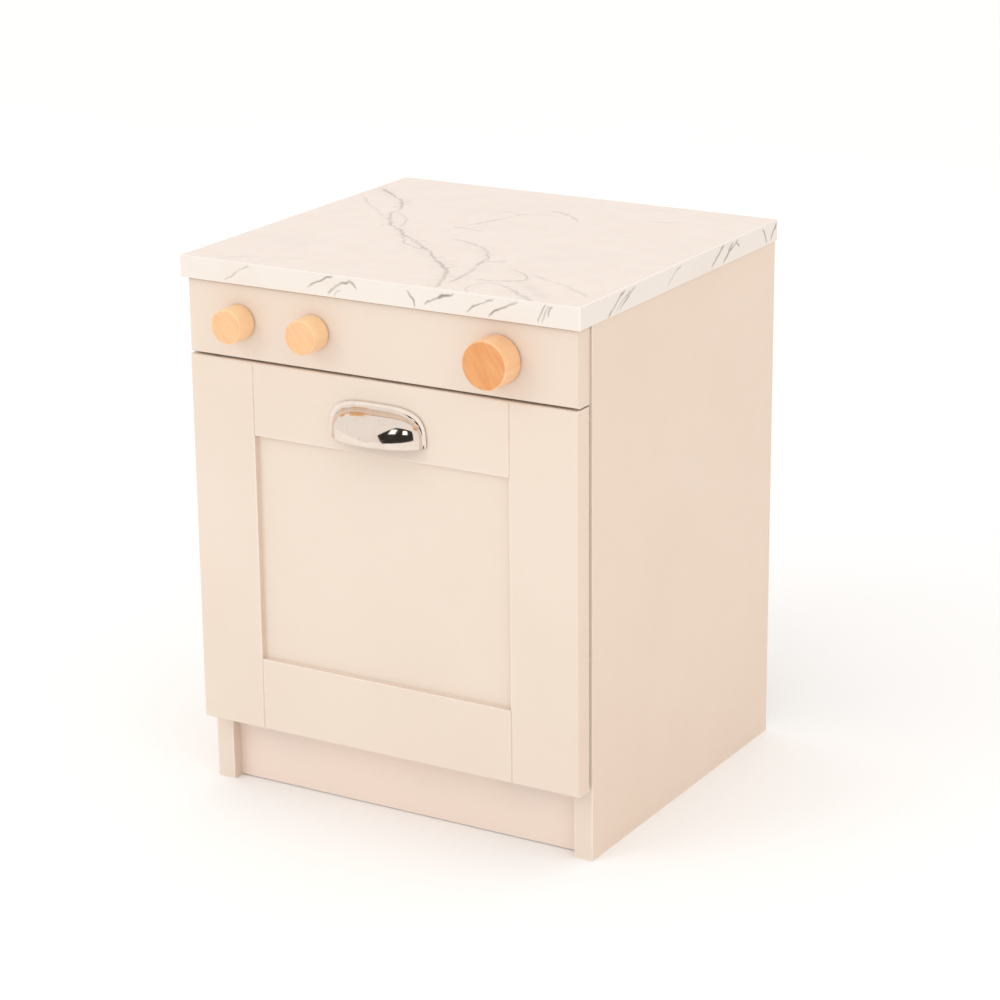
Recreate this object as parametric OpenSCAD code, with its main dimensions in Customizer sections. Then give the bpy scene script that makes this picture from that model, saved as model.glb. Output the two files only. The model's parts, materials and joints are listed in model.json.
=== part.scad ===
// Toy kitchen oven unit: board carcass, laminated worktop, control fascia with three
// turning knobs, and a framed drop-down door on two butt hinges with slotted stays.
// Millimetres. +X is the viewer's right, +Y the back, +Z up. The origin is the centre of
// the bounding box's bottom face.

/* [Carcass] */
// Width over the side panels
carcass_w = 400; // [396:2:440]
// Depth of the side panels
carcass_d = 350; // [340:5:400]
// Height of the side panels
carcass_h = 486; // [486:2:520]
// Thickness of every carcass board
board_t = 18; // [18:0.5:19]
// Height of the base panel's underside, and of the door's lower edge
base_z = 67.5; // [60:0.5:72]
// Setback of the plinth behind the side panels' front edges
plinth_setback = 12; // [12:1:20]

/* [Worktop] */
// Thickness of the worktop
worktop_t = 20; // [18:1:28]
// Overhang of the worktop past each side panel
worktop_overhang = 2; // [1:0.5:6]
// Reach of the worktop in front of the side panels
worktop_reach = 25; // [22:1:30]
// Thickness of the marble-print laminate sheet
laminate_t = 0.8; // [0.6:0.1:1.2]
// Thickness of the edging strips
edging_t = 1; // [0.8:0.1:2]

/* [Fronts] */
// Thickness of the door frame and the fascia
front_t = 19; // [18:0.5:20]
// Distance of the fronts' edges inside the carcass sides
front_inset = 2; // [1:0.5:4]
// Height of the fascia
fascia_h = 68; // [64:1:72]
// Gap between the fascia and the door
front_gap = 2; // [1.5:0.5:4]
// Width of the door's stiles and rails
frame_w = 67; // [60:1:70]
// Depth of the door panel behind the frame's face
panel_recess = 5; // [4:0.5:6]

/* [Handle] */
// Width of the cup handle over its flange
handle_w = 99; // [92:1:110]
// Height of the cup handle over its flange
handle_h = 34; // [33:1:44]
// Reach of the cup in front of the door
handle_reach = 23; // [20:1:24]
// Distance between the handle's two screws
handle_centres = 64; // [60:1:66]

/* [Knobs] */
// Diameter of the two small knobs
small_knob_d = 32; // [28:1:36]
// Height of the two small knobs
small_knob_h = 22; // [20:1:24]
// Diameter of the large knob
large_knob_d = 44; // [38:1:46]
// Height of the large knob
large_knob_h = 25; // [24:1:28]

/* [Hinge and stay] */
// Length of each butt hinge
hinge_l = 50; // [44:1:60]
// Distance of both stay pivots from the hinge pin
stay_r = 150; // [140:5:155]
// Opening of the door, in degrees
door_swing = 90; // [80:1:90]

/* [Hidden] */
$fn = 48;

// Clearances
fit = 0.05;         // radial clearance of a pin, dowel or screw in its hole
shaft_fit = 0.08;   // radial clearance of a knob spindle in the fascia
slip = 0.3;         // clearance beside a sliding or turning face

// Carcass planes
reach = 1 + front_t + 1 + large_knob_h;            // the large knob is the foremost point
face_y = reach - (carcass_d + reach) / 2;          // the side panels' front edges
back_y = face_y + carcass_d;
inner_x = carcass_w / 2 - board_t;                 // the side panels' inner faces
back_t = 4;
back_inset = 10;
back_groove = 6;
back_face_y = back_y - back_inset - back_t;        // the back panel's front face
rail_d = 80;
rail_z = carcass_h - board_t;

// Fronts
fascia_gap = 1;
door_gap = 2;
fascia_back_y = face_y - fascia_gap;
fascia_front_y = fascia_back_y - front_t;
front_w = carcass_w - 2 * front_inset;             // width of the fascia and the door
fascia_z = carcass_h - 0.5 - fascia_h;
door_back_y = face_y - door_gap;
door_front_y = door_back_y - front_t;
door_top_z = fascia_z - front_gap;
head_rail_d = 70;
head_rail_z = door_top_z - 8;                      // the rail behind the gap over the door
front_ease = 2;                                    // rounding of the fronts' visible edges
opening_x = front_w / 2 - frame_w;                 // half the door panel's sight width
opening_z0 = base_z + frame_w + 1.5;
opening_z1 = door_top_z - frame_w;
panel_t = front_t - 2 * panel_recess;
tongue = 10;                                       // depth of the door frame's groove
joint_v = 0.7;                                     // depth of the V line at the frame's joints

// Knobs: [x, diameter, height]
knob_drop = 0.5;                                   // knob axes below the fascia's middle
knob_z = fascia_z + fascia_h / 2 - knob_drop;
KNOBS = [
    [-143, small_knob_d, small_knob_h],
    [-65, small_knob_d, small_knob_h],
    [121.5, large_knob_d, large_knob_h],
];
knob_gap = 1;
knob_back_y = fascia_front_y - knob_gap;
spindle_r = 3;
spindle_in_knob = 14;
washer_t = 1.5;

// Hinges: the pin runs along X, below the gap between the door and the base panel
hinge_x = 130;
barrel_r = 2.5;
pin_r = 1.25;
leaf_t = 1.2;
leaf_w = 10;
leaf_y = barrel_r + 0.2;                           // the leaf's edge from the pin's axis
knuckles = 5;
pin_y = face_y - door_gap / 2;
pin_z = base_z - barrel_r;
hinge_screw_x = 15;
hinge_screw_y = 7;                                 // from the pin
hinge_screw_l = 16;

// Stays: pin and stud lie equally far from the hinge pin, so that the arm turns by half
// the door's angle and its slot always runs through the stud
stay_pin_back = 12;                                // the arm's pin behind the door
stay_start = 20;                                   // angle between pin and stud, door shut
pin_dy = door_gap / 2 - door_gap + stay_pin_back;  // the arm's pin from the hinge pin
pin_dz = sqrt(stay_r * stay_r - pin_dy * pin_dy);
stay_pin_y = pin_y + pin_dy;
stay_pin_z = pin_z + pin_dz;
stud_angle = atan2(pin_dy, pin_dz) + stay_start;
stud_y = pin_y + stay_r * sin(stud_angle);
stud_z = pin_z + stay_r * cos(stud_angle);
shut_span = 2 * stay_r * sin(stay_start / 2);
open_span = 2 * stay_r * sin((stay_start + door_swing) / 2);
stay_tilt = stud_angle - stay_start / 2;           // slope of the arm below the horizontal
stay_w = 12;
stay_t = 2;
stud_r = 2.5;
stud_l = 12;                                       // the stud's depth in the side panel
stud_head_r = 5;
stud_head_t = 1.8;
stay_x = inner_x - 5.5;                            // the arm's outer face

// Magnetic catch and strike plate
catch_w = 46;
catch_d = 15;
catch_h = 13;

// Shelf
shelf_t = 16;
shelf_z = 240;
shelf_gap = 1;
shelf_y0 = face_y + 30;
shelf_y1 = back_face_y - 6;
SHELF_PIN_Y = [shelf_y0 + 35, shelf_y1 - 35];
shelf_pin_r = 2.5;
shelf_pin_l = 10;                                  // a pin's reach to each side of the panel's face

// Horizontal boards between the side panels:
// [underside z, front y, depth, cam positions, dowel positions, cam bore on the upper face]
MEMBERS = [
    [base_z, face_y, back_face_y - face_y, [60, 280], [25, 168, 315], false],
    [head_rail_z, face_y, head_rail_d, [35], [15, 55], true],
    [rail_z, face_y, rail_d, [40], [15, 65], false],
    [rail_z, back_face_y - rail_d, rail_d, [40], [15, 65], false],
];
BASE = 0;
HEAD_RAIL = 1;
FRONT_RAIL = 2;
BACK_RAIL = 3;
cam_in = 24;                                       // cam centre from the side panel
cam_r = 7.5;
cam_h = 12.4;
bolt_r = 2.5;
bolt_bore_r = 3.6;
bolt_in_side = 11;
dowel_r = 4;
dowel_in_side = 10;
dowel_in_board = 20;
PLINTH_DOWEL_Z = [20, 48];
plinth_z0 = 1;
plinth_mid_y = face_y + plinth_setback + board_t / 2;

// Screws: [shank radius, head radius]
SMALL_SCREW = [1.5, 2.9];
WOOD_SCREW = [2, 3.8];
worktop_screw_l = 30;
stay_screw_l = 13;
catch_screw_l = 14;
strike_screw_l = 12;
WORKTOP_SCREW_X = [-120, 120];
block_w = 20;
block_screw_l = 30;
handle_screw_r = 2;
handle_z = door_top_z - 53;                        // the handle's lower edge
handle_boss_z = handle_z + 19;
handle_boss_r = 4.2;
handle_boss_l = 9;

cream = "#f3e3d2";
marble = "#f6efe8";
beech = "#f0b877";
chrome = "#d9dade";
steel = "#b4b6ba";

// ---------------------------------------------------------------- helpers

// A box from its lowest corner to its highest corner
module span(lo, hi) {
    translate(lo) cube(hi - lo);
}

// Children at both sides of the plane x = 0
module both_sides() {
    children();
    mirror([1, 0, 0]) children();
}

// A cylinder along X from x0 to x1
module rod_x(x0, x1, y, z, r) {
    translate([x0, y, z]) rotate([0, 90, 0]) cylinder(r = r, h = x1 - x0);
}

// A cylinder along Y from y0 to y1
module rod_y(x, y0, y1, z, r) {
    translate([x, y0, z]) rotate([-90, 0, 0]) cylinder(r = r, h = y1 - y0);
}

// A rectangle from lo to hi whose two corners on the low-y side are rounded
module eased_profile(lo, hi, r) {
    translate([lo.x, lo.y + r]) square([hi.x - lo.x, hi.y - lo.y - r]);
    translate([lo.x + r, lo.y]) square([hi.x - lo.x - 2 * r, r]);
    translate([lo.x + r, lo.y + r]) circle(r);
    translate([hi.x - r, lo.y + r]) circle(r);
}

// A board whose four front edges are rounded
module eased_board(lo, hi, r) {
    intersection() {
        translate([0, 0, lo.z]) linear_extrude(hi.z - lo.z)
            eased_profile([lo.x, lo.y], [hi.x, hi.y], r);
        // the profile's x is the board's z here
        translate([lo.x, 0, 0]) rotate([90, 0, 90]) linear_extrude(hi.x - lo.x)
            mirror([1, -1, 0]) eased_profile([lo.z, lo.y], [hi.z, hi.y], r);
    }
}

// A countersunk screw with its head's face at z = 0, pointing up
module screw_up(size, l) {
    r = size[0];
    head = size[1];
    sink = head - r;
    difference() {
        union() {
            cylinder(r1 = head, r2 = r, h = sink, $fn = 32);
            cylinder(r = r, h = l - r);
            translate([0, 0, l - r]) cylinder(r1 = r, r2 = 0.3, h = r, $fn = 32);
        }
        for (a = [0, 90]) rotate([0, 0, a]) translate([-head * 0.6, -0.35, -1])
            cube([head * 1.2, 0.7, 1.9]);
    }
}

// The hole that such a screw fills
module screw_hole_up(size, l) {
    r = size[0];
    head = size[1];
    translate([0, 0, -1]) cylinder(r = head + fit, h = 1);
    cylinder(r1 = head + fit, r2 = r + fit, h = head - r, $fn = 32);
    cylinder(r = r + fit, h = l + 0.5);
}

// ---------------------------------------------------------------- carcass

// Holes in a side panel's inner face, for the right-hand panel
module side_panel_holes() {
    dowel_end = inner_x + dowel_in_side + 0.5;
    for (m = MEMBERS) {
        z = m[0] + board_t / 2;
        for (y = m[3]) rod_x(inner_x - 1, inner_x + bolt_in_side + 0.5, m[1] + y, z, bolt_r + fit);
        for (y = m[4]) rod_x(inner_x - 1, dowel_end, m[1] + y, z, dowel_r + fit);
    }
    for (z = PLINTH_DOWEL_Z) rod_x(inner_x - 1, dowel_end, plinth_mid_y, z, dowel_r + fit);
    for (y = SHELF_PIN_Y)
        rod_x(inner_x - 1, inner_x + shelf_pin_l + 0.5, y, shelf_z - shelf_pin_r, shelf_pin_r + fit);
    rod_x(inner_x - 1, inner_x + stud_l + 0.5, stud_y, stud_z, stud_r + fit);
    for (z = block_screw_z()) block_screw_place(z) screw_hole_up(WOOD_SCREW, block_screw_l);
}

module side_panel() {
    color(cream) difference() {
        span([inner_x, face_y, 0], [carcass_w / 2, back_y, carcass_h]);
        span([inner_x - 1, back_face_y, base_z],
             [inner_x + back_groove, back_face_y + back_t, carcass_h + 1]);
        side_panel_holes();
    }
}

// A horizontal board with its cam and dowel bores, both ends
module member(index) {
    m = MEMBERS[index];
    mid = m[0] + board_t / 2;
    difference() {
        span([-inner_x, m[1], m[0]], [inner_x, m[1] + m[2], m[0] + board_t]);
        both_sides() {
            for (y = m[3]) {
                rod_x(inner_x - cam_in, inner_x + 1, m[1] + y, mid, bolt_bore_r);
                cam_place(m, y) translate([0, 0, -1]) cylinder(r = cam_r + fit, h = cam_h + 1.2);
            }
            for (y = m[4])
                rod_x(inner_x - dowel_in_board - 0.5, inner_x + 1, m[1] + y, mid, dowel_r + fit);
        }
    }
}

// The place of a cam at the right-hand end, its open face at z = 0 and its body above
module cam_place(m, y) {
    translate([inner_x - cam_in, m[1] + y, m[5] ? m[0] + board_t : m[0]])
        mirror([0, 0, m[5] ? 1 : 0]) children();
}

module base_panel() {
    color(cream) difference() {
        member(BASE);
        hinge_base_screw_places() screw_hole_up(SMALL_SCREW, hinge_screw_l);
    }
}

module top_rail_front() {
    color(cream) difference() {
        member(FRONT_RAIL);
        worktop_screw_places(face_y + rail_d / 2) screw_hole_up(WOOD_SCREW, worktop_screw_l);
    }
}

module top_rail_back() {
    color(cream) difference() {
        member(BACK_RAIL);
        worktop_screw_places(back_face_y - rail_d / 2) screw_hole_up(WOOD_SCREW, worktop_screw_l);
    }
}

module door_head_rail() {
    color(cream) difference() {
        member(HEAD_RAIL);
        catch_screw_places() screw_hole_up(SMALL_SCREW, catch_screw_l);
    }
}

module back_panel() {
    color(cream) span([-inner_x - back_groove + 0.2, back_face_y, base_z + 0.2],
                      [inner_x + back_groove - 0.2, back_face_y + back_t, carcass_h - 0.2]);
}

module plinth_board() {
    y0 = face_y + plinth_setback;
    color(cream) difference() {
        span([-inner_x, y0, plinth_z0], [inner_x, y0 + board_t, base_z]);
        both_sides() for (z = PLINTH_DOWEL_Z)
            rod_x(inner_x - dowel_in_board - 0.5, inner_x + 1, plinth_mid_y, z, dowel_r + fit);
    }
}

module cam_locks() {
    color(steel) both_sides() for (m = MEMBERS, y = m[3]) cam_place(m, y) difference() {
        cylinder(r = cam_r, h = cam_h);
        rod_x(-5, cam_r + 1, 0, board_t / 2, bolt_bore_r);
        for (a = [45, 135]) rotate([0, 0, a]) translate([-3.2, -0.6, -1]) cube([6.4, 1.2, 3]);
    }
}

module cam_bolts() {
    color(steel) both_sides() for (m = MEMBERS, y = m[3]) {
        z = m[0] + board_t / 2;
        rod_x(inner_x - cam_in - 1, inner_x + bolt_in_side, m[1] + y, z, bolt_r);
        rod_x(inner_x - cam_in - 4, inner_x - cam_in - 1, m[1] + y, z, bolt_r + 0.8);
    }
}

module dowels() {
    x0 = inner_x - dowel_in_board;
    x1 = inner_x + dowel_in_side;
    color(beech) both_sides() {
        for (m = MEMBERS, y = m[4]) rod_x(x0, x1, m[1] + y, m[0] + board_t / 2, dowel_r);
        for (z = PLINTH_DOWEL_Z) rod_x(x0, x1, plinth_mid_y, z, dowel_r);
    }
}

// ---------------------------------------------------------------- shelf

module oven_shelf() {
    color(cream) span([-inner_x + shelf_gap, shelf_y0, shelf_z],
                      [inner_x - shelf_gap, shelf_y1, shelf_z + shelf_t]);
}

// Shelf pins: a peg through a small collar, half in the side panel and half under the shelf
module shelf_pins() {
    z = shelf_z - shelf_pin_r;
    collar_r = 4.4;
    color(steel) both_sides() for (y = SHELF_PIN_Y) {
        rod_x(inner_x - shelf_pin_l, inner_x + shelf_pin_l, y, z, shelf_pin_r);
        rod_x(inner_x - 1.6, inner_x - 0.1, y, shelf_z - collar_r - 0.1, collar_r);
    }
}

// ---------------------------------------------------------------- worktop

worktop_x = carcass_w / 2 + worktop_overhang;
worktop_y0 = face_y - worktop_reach;
worktop_z1 = carcass_h + worktop_t;

module worktop_core() {
    color("#c9a77c") difference() {
        span([-worktop_x + edging_t, worktop_y0 + edging_t, carcass_h],
             [worktop_x - edging_t, back_y, worktop_z1 - laminate_t]);
        for (y = [face_y + rail_d / 2, back_face_y - rail_d / 2])
            worktop_screw_places(y) screw_hole_up(WOOD_SCREW, worktop_screw_l);
    }
}

module worktop_laminate() {
    color(marble) span([-worktop_x + edging_t, worktop_y0 + edging_t, worktop_z1 - laminate_t],
                       [worktop_x - edging_t, back_y, worktop_z1]);
}

// Edging strip's section: x is outwards from the core, y is up; its outer corners are rounded
module edging_section() {
    r = edging_t * 0.7;
    translate([0, r]) square([edging_t, worktop_t - 2 * r]);
    square([edging_t - r, worktop_t]);
    translate([edging_t - r, r]) circle(r);
    translate([edging_t - r, worktop_t - r]) circle(r);
}

module worktop_edge_side() {
    color(marble) translate([worktop_x - edging_t, back_y, carcass_h])
        rotate([90, 0, 0]) linear_extrude(back_y - worktop_y0 - edging_t) intersection() {
            edging_section();
            square([edging_t, worktop_t]);
        }
}

module worktop_edge_front() {
    color(marble) translate([worktop_x, worktop_y0 + edging_t, carcass_h])
        rotate([90, 0, -90]) linear_extrude(2 * worktop_x) intersection() {
            edging_section();
            square([edging_t, worktop_t]);
        }
}

module worktop_screw_places(y) {
    for (x = WORKTOP_SCREW_X) translate([x, y, rail_z]) children();
}

module worktop_screws() {
    color(steel) for (y = [face_y + rail_d / 2, back_face_y - rail_d / 2])
        worktop_screw_places(y) screw_up(WOOD_SCREW, worktop_screw_l);
}

// ---------------------------------------------------------------- fascia and knobs

module control_fascia() {
    color(cream) difference() {
        eased_board([-front_w / 2, fascia_front_y, fascia_z],
                    [front_w / 2, fascia_back_y, fascia_z + fascia_h], front_ease);
        for (k = KNOBS)
            rod_y(k[0], fascia_front_y - 1, fascia_back_y + 1, knob_z, spindle_r + shaft_fit);
        fascia_screw_places() screw_hole_up(WOOD_SCREW, block_screw_l);
    }
}

block_z0 = head_rail_z + board_t;
function block_screw_z() = [block_z0 + 14, rail_z - 14];

// A screw through the right-hand block into the side panel, pointing along +X
module block_screw_place(z) {
    translate([inner_x - block_w, face_y + 13, z]) rotate([0, 90, 0]) children();
}

// The screws through both blocks into the fascia, pointing along -Y
module fascia_screw_places() {
    both_sides() for (z = [block_z0 + 7, rail_z - 7])
        translate([inner_x - 13, fascia_back_y + block_w, z]) rotate([90, 0, 0]) children();
}

module fascia_block() {
    color(beech) difference() {
        span([inner_x - block_w, fascia_back_y, block_z0], [inner_x, fascia_back_y + block_w, rail_z]);
        for (z = block_screw_z()) block_screw_place(z) screw_hole_up(WOOD_SCREW, block_screw_l);
        fascia_screw_places() screw_hole_up(WOOD_SCREW, block_screw_l);
    }
}

module fascia_screws() {
    color(steel) fascia_screw_places() screw_up(WOOD_SCREW, block_screw_l);
}

module block_screws() {
    color(steel) both_sides() for (z = block_screw_z())
        block_screw_place(z) screw_up(WOOD_SCREW, block_screw_l);
}

// A turned knob: straight side, rounded front edge, fine step at the back, blind bore
module knob(k) {
    r = k[1] / 2;
    h = k[2];
    edge = 2.4;
    heel = 0.6;
    color(beech) translate([k[0], knob_back_y, knob_z]) rotate([90, 0, 0]) difference() {
        rotate_extrude($fn = 72) {
            translate([0, heel]) square([r, h - edge - heel]);
            square([r - heel, h - edge]);
            square([r - edge, h]);
            intersection() {
                translate([r - edge, h - edge]) circle(edge);
                translate([0, h - edge]) square([r, edge]);
            }
        }
        translate([0, 0, -1]) cylinder(r = spindle_r + fit, h = spindle_in_knob + 2);
    }
}

// A pan-head machine screw from behind the fascia into the knob
module spindle(k) {
    head_y = fascia_back_y + washer_t;
    head_r = 6;
    head_h = 3.6;
    color(steel) difference() {
        union() {
            rod_y(k[0], knob_back_y - spindle_in_knob, head_y, knob_z, spindle_r);
            rod_y(k[0], head_y, head_y + head_h * 2 / 3, knob_z, head_r);
            rod_y(k[0], head_y + head_h * 2 / 3, head_y + head_h, knob_z, head_r * 0.8);
        }
        for (a = [0, 90]) translate([k[0], head_y + head_h + 0.4, knob_z]) rotate([0, a, 0])
            cube([head_r - 1, 4, 1], center = true);
    }
}

module washer(x, y0, t, outer_r) {
    difference() {
        rod_y(x, y0, y0 + t, knob_z, outer_r);
        rod_y(x, y0 - 1, y0 + t + 1, knob_z, spindle_r + 0.3);
    }
}

module knob_washers() {
    color("white") for (k = KNOBS) washer(k[0], fascia_front_y - knob_gap + slip, knob_gap - slip, 8);
}

module spindle_washers() {
    color(steel) for (k = KNOBS) washer(k[0], fascia_back_y, washer_t - slip, 9);
}

// ---------------------------------------------------------------- door

// The door's outline as one board, before it is cut into stiles and rails
module door_blank() {
    eased_board([-front_w / 2, door_front_y, base_z], [front_w / 2, door_back_y, door_top_z], front_ease);
}

// The groove that holds the panel and the rails' tongues, between two heights
module door_groove(x0, x1, z0, z1) {
    span([x0, door_front_y + panel_recess, z0], [x1, door_front_y + panel_recess + panel_t, z1]);
}

// The V line where a stile meets the rails, right-hand side
module joint_line() {
    for (z = [[base_z - 1, opening_z0], [opening_z1, door_top_z + 1]])
        translate([opening_x, door_front_y, z[0]]) rotate([0, 0, 45])
            translate([-joint_v, -joint_v, 0]) cube([2 * joint_v, 2 * joint_v, z[1] - z[0]]);
}

module door_stile_right() {
    color(cream) difference() {
        intersection() {
            door_blank();
            span([opening_x, door_front_y - 1, base_z - 1],
                 [front_w, door_back_y + 1, door_top_z + 1]);
        }
        door_groove(opening_x - 1, opening_x + tongue, base_z - 1, door_top_z + 1);
        joint_line();
        bumper_places() rod_y(0, -bumper_sink, 1, 0, bumper_r + fit);
        stay_screw_places() screw_hole_up(SMALL_SCREW, stay_screw_l);
        hinge_door_screw_places() screw_hole_up(SMALL_SCREW, hinge_screw_l);
    }
}

// A rail with a tongue at each end and a groove along the edge that faces the panel
module door_rail(z0, z1, groove_z0, groove_z1) {
    difference() {
        union() {
            intersection() {
                door_blank();
                span([-opening_x, door_front_y - 1, z0], [opening_x, door_back_y + 1, z1]);
            }
            door_groove(-opening_x - tongue, opening_x + tongue, z0, z1);
        }
        door_groove(-front_w / 2, front_w / 2, groove_z0, groove_z1);
        both_sides() joint_line();
    }
}

module door_rail_top() {
    color(cream) difference() {
        door_rail(opening_z1, door_top_z, opening_z1 - 1, opening_z1 + tongue);
        for (x = HANDLE_X)
            rod_y(x, door_front_y - 1, door_back_y + 1, handle_boss_z, handle_screw_r + fit);
        strike_screw_place() screw_hole_up(SMALL_SCREW, strike_screw_l);
    }
}

module door_rail_bottom() {
    color(cream) difference() {
        door_rail(base_z, opening_z0, opening_z0 - tongue, opening_z0 + 1);
        hinge_door_screw_places() screw_hole_up(SMALL_SCREW, hinge_screw_l);
    }
}

module door_panel() {
    color(cream) door_groove(-opening_x - tongue, opening_x + tongue,
                             opening_z0 - tongue, opening_z1 + tongue);
}

bumper_r = 4;
bumper_sink = 0.6;                                 // a buffer's depth in the door's back

// Soft buffers at the door's corners; the children sit at the right-hand places
module bumper_places() {
    for (z = [base_z + 30, door_top_z - 12])
        translate([inner_x + board_t / 2, door_back_y, z]) children();
}

module door_bumpers() {
    color("white") both_sides() bumper_places() rod_y(0, -bumper_sink, door_gap - slip, 0, bumper_r);
}

// ---------------------------------------------------------------- handle

HANDLE_X = [-handle_centres / 2, handle_centres / 2];
handle_wall = 1.6;
flange_t = 2;
flange_rim = 4.5;
cup_r = 22;                                        // rounding of the cup's corners

// A block with its back on y = 0 and its bottom on z = 0; every other edge is rounded
module cup_solid(half_w, depth, height, r) {
    x = half_w - r;
    y = r - depth;
    z = height - r;
    both_sides() intersection() {
        union() {
            translate([x, y, z]) sphere(r);
            translate([x, y, 0]) cylinder(r = r, h = z);
            rod_x(0, x, y, z, r);
            rod_y(x, y, 1, z, r);
        }
        span([0, -depth - 1, 0], [half_w + 1, 0, height + 1]);
    }
    span([-x, y, 0], [x, 0, height]);
    span([-x, -depth, 0], [x, 0, z]);
    span([-half_w, y, 0], [half_w, 0, z]);
}

// The flange's outline in x and z: two rounded upper corners
module flange_outline(w, h, r) {
    translate([-w / 2, 0]) square([w, h - r]);
    translate([r - w / 2, 0]) square([w - 2 * r, h]);
    for (side = [-1, 1]) intersection() {
        translate([side * (w / 2 - r), h - r]) circle(r);
        translate([-w / 2, 0]) square([w, h]);
    }
}

module cup_handle() {
    half_w = handle_w / 2 - flange_rim;
    height = handle_h - flange_rim;
    boss_z = handle_boss_z - handle_z;
    color(chrome) translate([0, door_front_y, handle_z]) difference() {
        union() {
            difference() {
                union() {
                    rotate([90, 0, 0]) linear_extrude(flange_t)
                        flange_outline(handle_w, handle_h, cup_r + flange_rim);
                    cup_solid(half_w, handle_reach, height, cup_r);
                }
                translate([0, 1, -1]) cup_solid(half_w - handle_wall, handle_reach - handle_wall + 1,
                                                height - handle_wall + 1, cup_r - handle_wall);
            }
            for (x = HANDLE_X) rod_y(x, -handle_boss_l, 0, boss_z, handle_boss_r);
        }
        for (x = HANDLE_X) rod_y(x, -handle_boss_l + 1.5, 1, boss_z, handle_screw_r + 0.2);
    }
}

module handle_screws() {
    color(steel) for (x = HANDLE_X) translate([x, door_back_y, handle_boss_z]) difference() {
        union() {
            rod_y(0, -front_t - handle_boss_l + 2, 0, 0, handle_screw_r);
            rod_y(0, 0, 1.6, 0, handle_boss_r);
            rod_y(0, 1.6, 2.4, 0, 3.2);
        }
        for (a = [0, 90]) translate([0, 2.6, 0]) rotate([0, a, 0])
            cube([3.6, 2.4, 0.8], center = true);
    }
}

// ---------------------------------------------------------------- hinges

// Knuckle i's lower and upper x from the hinge's middle
function knuckle_x0(i) = -hinge_l / 2 + i * hinge_l / knuckles + slip / 2;
function knuckle_x1(i) = -hinge_l / 2 + (i + 1) * hinge_l / knuckles - slip / 2;

// One leaf on the pin's axis: dir 1 reaches back under the base panel, -1 forwards under
// the door; its knuckles are the even or the odd ones
module hinge_leaf(dir, first) {
    difference() {
        union() {
            span([-hinge_l / 2 + 0.1, dir > 0 ? leaf_y : -leaf_y - leaf_w, barrel_r - leaf_t],
                 [hinge_l / 2 - 0.1, dir > 0 ? leaf_y + leaf_w : -leaf_y, barrel_r]);
            for (i = [first:2:knuckles - 1]) {
                rod_x(knuckle_x0(i), knuckle_x1(i), 0, 0, barrel_r);
                span([knuckle_x0(i), dir > 0 ? 0 : -leaf_y - 0.1, barrel_r - leaf_t],
                     [knuckle_x1(i), dir > 0 ? leaf_y + 0.1 : 0, barrel_r]);
            }
        }
        rod_x(-hinge_l, hinge_l, 0, 0, pin_r + fit);
        for (x = [-1, 1]) translate([x * hinge_screw_x, dir * hinge_screw_y, barrel_r - leaf_t])
            screw_hole_up(SMALL_SCREW, hinge_screw_l);
    }
}

module hinge_base_leaf() {
    color(steel) translate([hinge_x, pin_y, pin_z]) hinge_leaf(1, 0);
}

module hinge_door_leaf() {
    color(steel) translate([hinge_x, pin_y, pin_z]) hinge_leaf(-1, 1);
}

module hinge_pins() {
    color(steel) both_sides() rod_x(hinge_x - hinge_l / 2, hinge_x + hinge_l / 2, pin_y, pin_z, pin_r);
}

module hinge_base_screw_places() {
    both_sides() for (x = [-1, 1])
        translate([hinge_x + x * hinge_screw_x, pin_y + hinge_screw_y, base_z - leaf_t]) children();
}

module hinge_door_screw_places() {
    both_sides() for (x = [-1, 1])
        translate([hinge_x + x * hinge_screw_x, pin_y - hinge_screw_y, base_z - leaf_t]) children();
}

module hinge_base_screws() {
    color(steel) hinge_base_screw_places() screw_up(SMALL_SCREW, hinge_screw_l);
}

module hinge_door_screws() {
    color(steel) hinge_door_screw_places() screw_up(SMALL_SCREW, hinge_screw_l);
}

// ---------------------------------------------------------------- stays

// The right-hand arm along +Y from its pin, then sloped down to the stud
module stay_arm() {
    slot_r = stud_r + slip;
    color(steel) translate([stay_x, stay_pin_y, stay_pin_z]) rotate([-stay_tilt, 0, 0]) difference() {
        union() {
            rod_x(-stay_t, 0, 0, 0, stay_w / 2);
            rod_x(-stay_t, 0, open_span + 3, 0, stay_w / 2);
            span([-stay_t, 0, -stay_w / 2], [0, open_span + 3, stay_w / 2]);
        }
        rod_x(-stay_t - 1, 1, 0, 0, stud_r + fit);
        rod_x(-stay_t - 1, 1, shut_span - 2, 0, slot_r);
        rod_x(-stay_t - 1, 1, open_span + slip, 0, slot_r);
        span([-stay_t - 1, shut_span - 2, -slot_r], [1, open_span + slip, slot_r]);
    }
}

// Shouldered studs on the side panels: shank, collar and head
module stay_studs() {
    head_x = stay_x - stay_t - slip;
    color(steel) both_sides() {
        rod_x(head_x - stud_head_t, inner_x + stud_l, stud_y, stud_z, stud_r);
        rod_x(stay_x + slip, inner_x, stud_y, stud_z, stud_head_r);
        rod_x(head_x - stud_head_t, head_x, stud_y, stud_z, stud_head_r);
    }
}

bracket_t = 2;
bracket_ear_x = stay_x - stay_t - slip;            // the ear's outer face
bracket_foot_w = 16;
bracket_foot_h = 28;
bracket_ear_r = 6;

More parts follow.
